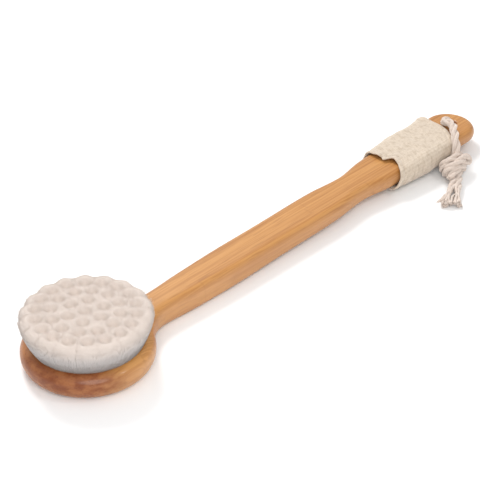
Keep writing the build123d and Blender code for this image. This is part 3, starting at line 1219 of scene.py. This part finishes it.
class DRYBRUSH_OT_sleeve(bpy.types.Operator):
    """Pull the knitted cotton sleeve over the grip and overlock its hems"""

    bl_idname = "drybrush.sleeve"
    bl_label = "Cotton sleeve"

    around = 220
    along = 132

    def execute(self, context):
        settings = context.scene.dry_brush_sleeve
        wood = bpy.data.objects["bamboo_body_shaped"]
        self.wood = BVHTree.FromObject(wood, bpy.context.evaluated_depsgraph_get())
        cloth = cloth_finish(settings)
        turns = np.arange(self.around) / self.around
        grid = np.zeros((self.along + 1, self.around, 3))
        for column, turn in enumerate(turns):
            for row in range(self.along + 1):
                grid[row, column] = self.cloth_point(turn, row / self.along)
        girth = float(np.linalg.norm(np.roll(grid, -1, axis=1) - grid, axis=2).sum(axis=1).mean())
        length = float(np.linalg.norm(np.diff(grid, axis=0), axis=2).sum(axis=0).mean())
        faces = band_faces(self.along + 1, self.around, clockwise=True)
        corners = []
        for row in range(self.along):
            low, high = (length * MM * (row + step) / self.along for step in (0, 1))
            for column in range(self.around):
                left, right = (girth * MM * (column + step) / self.around for step in (0, 1))
                corners += [(left, low), (left, high), (right, high), (right, low)]
        sleeve = build_mesh("cotton_sleeve_cloth", grid.reshape(-1, 3), faces, cloth, {"cloth": corners})
        solid = sleeve.modifiers.new("thickness", "SOLIDIFY")
        solid.thickness = settings.cloth_thickness
        solid.offset = -1.0
        solid.use_even_offset = False
        hand_over(sleeve, "brush", "sleeve_cotton", "cotton_sleeve")
        edge, seam = HEM_EDGE / SLEEVE_LENGTH, HEM_SEAM / SLEEVE_LENGTH
        hems = [
            self.hem("lower_hem_stitching", (edge, seam), settings),
            self.hem("upper_hem_stitching", (1 - edge, 1 - seam), settings),
        ]
        return {"FINISHED"}

    def section(self, x, turn):
        """Point on the grip at x, with the outward side and upward parts of its normal there."""
        half_width, low, high, corner = 16.7, 6.0, 16.0, 4.4
        half_height = (high - low) / 2
        flat_side, flat_top = half_height - corner, half_width - corner
        runs = (flat_top, corner * math.pi / 2, 2 * flat_side, corner * math.pi / 2, flat_top)
        # Half the way round, from under the middle up the far side to the top's middle
        half = sum(runs)
        spot = (turn % 1.0) * 2 * half
        mirrored = 1.0 if spot <= half else -1.0
        spot = spot if spot <= half else 2 * half - spot
        if spot < runs[0]:
            place, normal = (spot, low), (0.0, -1.0)
        elif spot < sum(runs[:2]):
            bend = (spot - runs[0]) / corner
            normal = (math.sin(bend), -math.cos(bend))
            place = (flat_top + corner * normal[0], low + corner + corner * normal[1])
        elif spot < sum(runs[:3]):
            place, normal = (half_width, low + corner + spot - sum(runs[:2])), (1.0, 0.0)
        elif spot < sum(runs[:4]):
            bend = (spot - sum(runs[:3])) / corner
            normal = (math.cos(bend), math.sin(bend))
            place = (flat_top + corner * normal[0], high - corner + corner * normal[1])
        else:
            place, normal = (half - spot, high), (0.0, 1.0)
        # Start on the normal through the section's point, so that flat faces are hit squarely
        start = Vector((x, mirrored * (place[0] + normal[0] * 12), place[1] + normal[1] * 12)) * MM
        inward = Vector((0.0, -mirrored * normal[0], -normal[1]))
        hit = self.wood.ray_cast(start, inward)[0]
        if hit is None:
            raise RuntimeError("the sleeve found no wood to rest on")
        return np.array(hit) / MM, mirrored * normal[0], normal[1]

    def cloth_point(self, turn, share):
        """Outer face of the cloth, share of the way from the lower hem to the upper one."""
        place, side, up = self.section(GRIP_MIDDLE_X, turn)
        y = place[1]
        near = ease(clamp((-9.5 - y) / 6.0 if up >= 0 else (2.0 - y) / 18.0))
        low = clamp((WOOD_TOP - 0.5 - place[2]) / 8.5)
        start = 262.6 - near * (3.0 + 6.2 * low)
        if up > 0:
            start += 3.4 * bell(y, -5.0, 6.0) - 2.4 * bell(y, 0.6, 1.5) + 1.4 * clamp((y - 9.0) / 7.0)
        end = 323.8 - 0.022 * min(y - 5.0, 0.0) ** 2
        start += 0.4 * noise.noise(Vector((turn * 9.0, 3.0, 0.0)))
        end += 0.4 * noise.noise(Vector((turn * 8.0, 7.0, 0.0)))
        far_corner = bell(y, 14.0, 5.0) * max(0.0, up + 0.2)
        x = start + (end - start) * share
        from_start, from_end = share * (end - start), (1 - share) * (end - start)
        surface, side, up = self.section(x, turn)
        far, near = max(0.0, side), max(0.0, -side)
        swell = np.interp(x, (262, 275, 290, 306, 320, 326), (0.1, 0.5, 1.6, 0.5, 1.3, 1.6)) * far
        swell += np.interp(x, (260, 270, 285, 300, 313, 318), (0.9, 1.5, 2.4, 1.2, 0.8, 0.4)) * near
        swell += np.interp(x, (262, 272, 290, 305, 322), (0.15, 0.5, 0.8, 0.5, 0.3)) * max(0.0, up)
        swell += 0.9 * max(0.0, -up) * math.sin(math.pi * share)
        # Soft creases that run slantwise
        skew = Vector((turn * 11.0 + x * 0.05, x * 0.11 - turn * 5.0, 2.0))
        crease = noise.noise(skew) * 0.55 + noise.noise(skew * 2.3) * 0.25
        swell += crease * math.sin(math.pi * clamp(share)) ** 0.5
        swell += 0.10 * noise.noise(Vector((turn * 95.0, x * 0.9, 5.0)))
        # Folded hems: thicker at the edge, with a shallow groove inside the fold
        for gap in (from_start, from_end):
            swell += 0.38 * bell(gap, 1.5, 1.2) - 0.22 * bell(gap, 3.9, 0.6)
        # The lower hem stands off the wood in two places, either side of a pinch
        lift = bell(y, 6.5, 2.9) + bell(y, -4.6, 2.5)
        swell += 1.1 * lift * bell(from_start, 0.0, 4.2) * max(0.0, up)
        swell += 0.5 * far_corner * bell(from_end, 0.0, 5.0)
        reach = 1.15 + max(0.0, swell)
        return surface[0], surface[1] + side * reach, surface[2] + up * reach

    def hem(self, name, shares, settings):
        """Overlock thread: one zigzag over the folded edge and one chain beside it."""
        steps = 260
        rims, seams = [], []
        for index in range(steps):
            turn = index / steps
            _, side, up = self.section(GRIP_MIDDLE_X, turn)
            out = np.array([0.0, side, up]) * 0.1
            rim, seam = (np.array(self.cloth_point(turn, share)) + out for share in shares)
            rims.append(rim)
            seams.append(seam)
        rims, inwards = np.array(rims), (np.array(seams) - np.array(rims)) * MM
        girth = reaches(np.concatenate([rims, rims[:1]]))[-1] * MM
        guide = bpy.data.meshes.new(f"{name}_guide")
        guide.from_pydata((rims * MM).tolist(), [(i, (i + 1) % steps) for i in range(steps)], [])
        across = guide.attributes.new("inwards", "FLOAT_VECTOR", "POINT")
        across.data.foreach_set("vector", inwards.astype(np.float32).ravel())
        piece = add_object(f"{name}_thread", guide)
        material = bpy.data.materials.get("overlock_thread")
        tree, sockets = self.stitch_tree()
        inputs = {
            "Thread radius": settings.thread_radius,
            "Stitches": int(girth / settings.stitch_spacing),
            "Material": material or yarn_finish("overlock_thread", (0.74, 0.66, 0.56), 2600.0),
        }
        grow(piece, tree, sockets, inputs)
        bpy.data.node_groups.remove(tree)
        return hand_over(piece, "brush", "stitching_thread", name)

    @staticmethod
    def stitch_tree():
        """Two threads along the hem's guide: a zigzag across the fold and a chain at its inner side."""
        inputs = {"Guide": "Geometry", "Thread radius": "Float", "Stitches": "Int", "Material": "Material"}
        graph, given, sockets = new_tree("overlock_stitches", inputs, "Thread")
        curve = graph.node("GeometryNodeMeshToCurve", {}, {"Mesh": given})
        kind = {"data_type": "FLOAT_VECTOR"}
        inwards = graph.node("GeometryNodeInputNamedAttribute", kind, {"Name": "inwards"})
        number = graph.node("GeometryNodeInputIndex")
        profile = graph.node(
            "GeometryNodeCurvePrimitiveCircle", {}, {"Resolution": 6, "Radius": given.also("Thread radius")}
        )
        # Four points to a stitch: out, half way, in and half way back
        count = given.also("Stitches") * 4.0
        even = graph.node("GeometryNodeResampleCurve", {"mode": "COUNT"}, {"Curve": curve, "Count": count})
        swing = abs(number.maths("MODULO", number, 4.0) - 2.0) * 0.5
        threads = []
        for share in (swing, 1.04):
            shift = graph.node("ShaderNodeVectorMath", {"operation": "SCALE"}, {0: inwards, "Scale": share})
            line = graph.node("GeometryNodeSetPosition", {}, {"Geometry": even, "Offset": shift})
            swept = graph.node("GeometryNodeCurveToMesh", {}, {"Curve": line, "Profile Curve": profile})
            threads.append(swept)
        shaded = graph.node(
            "GeometryNodeStoreNamedAttribute",
            {"data_type": "FLOAT", "domain": "POINT"},
            {"Geometry": graph.join(*threads), "Name": "shade", "Value": 0.3},
        )
        graph.finished(shaded, given.also("Material"), "Thread")
        return graph.tree, sockets


class DRYBRUSH_PT_build(bpy.types.Panel):
    """A button for each step, and every setting"""

    bl_idname = "DRYBRUSH_PT_build"
    bl_label = "Dry brush"
    bl_space_type = "VIEW_3D"
    bl_region_type = "UI"
    bl_category = "Dry brush"

    def draw(self, context):
        for operator in OPERATORS:
            self.layout.operator(operator.bl_idname)
        for name, group in GROUPS.items():
            box = self.layout.box()
            for field in group.__annotations__:
                box.prop(getattr(context.scene, name), field)


GROUPS = {
    "dry_brush_wood": DryBrushWood,
    "dry_brush_bristles": DryBrushBristles,
    "dry_brush_sleeve": DryBrushSleeve,
    "dry_brush_rope": DryBrushRope,
    "dry_brush_studio": DryBrushStudio,
}
OPERATORS = (
    DRYBRUSH_OT_studio,
    DRYBRUSH_OT_rope,
    DRYBRUSH_OT_body,
    DRYBRUSH_OT_bristles,
    DRYBRUSH_OT_sleeve,
)


def register():
    for kind in (*GROUPS.values(), *OPERATORS, DRYBRUSH_PT_build):
        bpy.utils.register_class(kind)
    for name, group in GROUPS.items():
        setattr(bpy.types.Scene, name, bpy.props.PointerProperty(type=group))


def unregister():
    for name in GROUPS:
        delattr(bpy.types.Scene, name)
    for kind in reversed((*GROUPS.values(), *OPERATORS, DRYBRUSH_PT_build)):
        bpy.utils.unregister_class(kind)


def main():
    register()
    bpy.ops.drybrush.studio()
    bpy.ops.drybrush.rope()
    bpy.ops.drybrush.body()
    bpy.ops.drybrush.bristles()
    bpy.ops.drybrush.sleeve()


if __name__ == "__main__":
    main()
